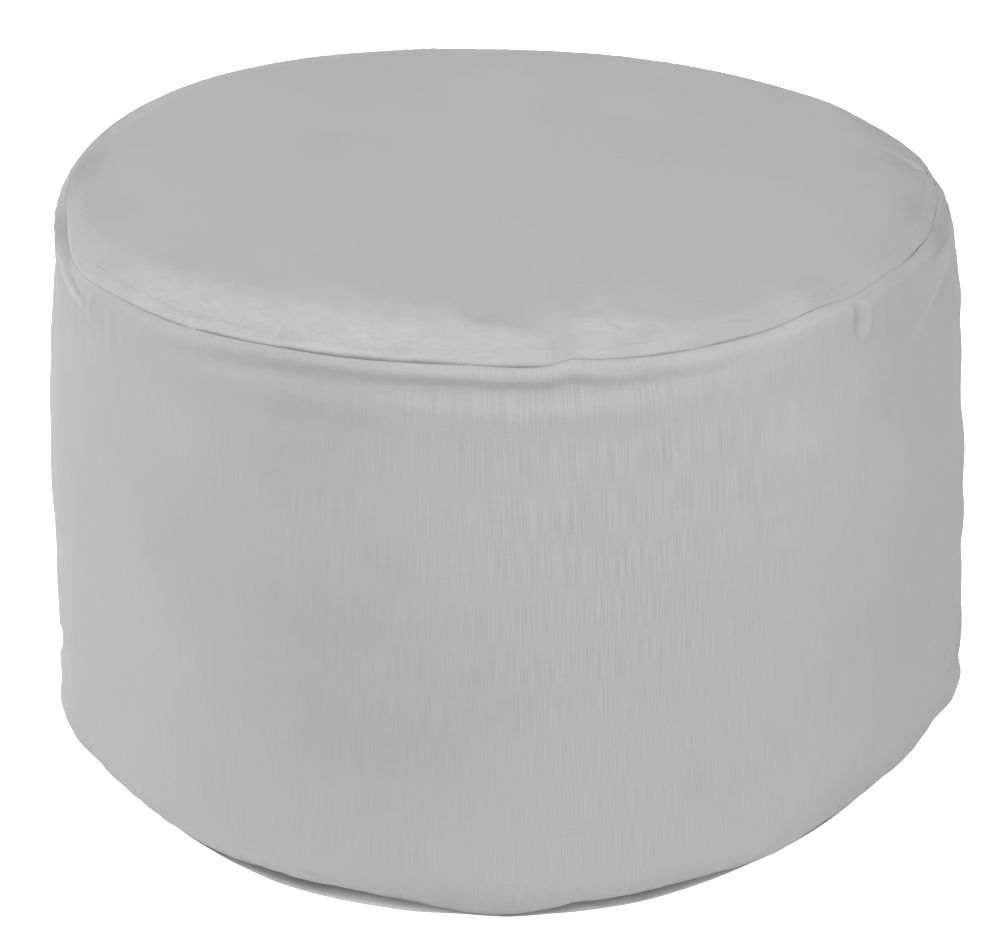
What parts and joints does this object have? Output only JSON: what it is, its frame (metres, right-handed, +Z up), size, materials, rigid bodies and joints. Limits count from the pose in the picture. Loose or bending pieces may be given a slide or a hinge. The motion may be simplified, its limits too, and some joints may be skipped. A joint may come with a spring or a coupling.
{
  "type": "round outdoor bean bag",
  "caption": "Round drum-shaped bean bag of woven outdoor cloth with a crowned sewn-in top and a flat base, for sitting on or resting feet on.",
  "frame": {"origin": "on the surface the bag stands on, under the middle of the bag's box", "axes": "+Z up, +X to the right and -Y towards the front of the bag"},
  "size_m": [0.6068, 0.6116, 0.361],
  "materials": {
    "side_band_cloth": "matt plain-woven polyester, light grey, threads standing upright",
    "top_panel_cloth": "matt plain-woven polyester, light grey, threads running across",
    "base_panel_cloth": "matt plain-woven polyester, light grey"
  },
  "bodies": {
    "root": {"filled_body": "side_band_cloth", "top_panel": "top_panel_cloth", "base_panel": "base_panel_cloth"}
  },
  "joints": []
}
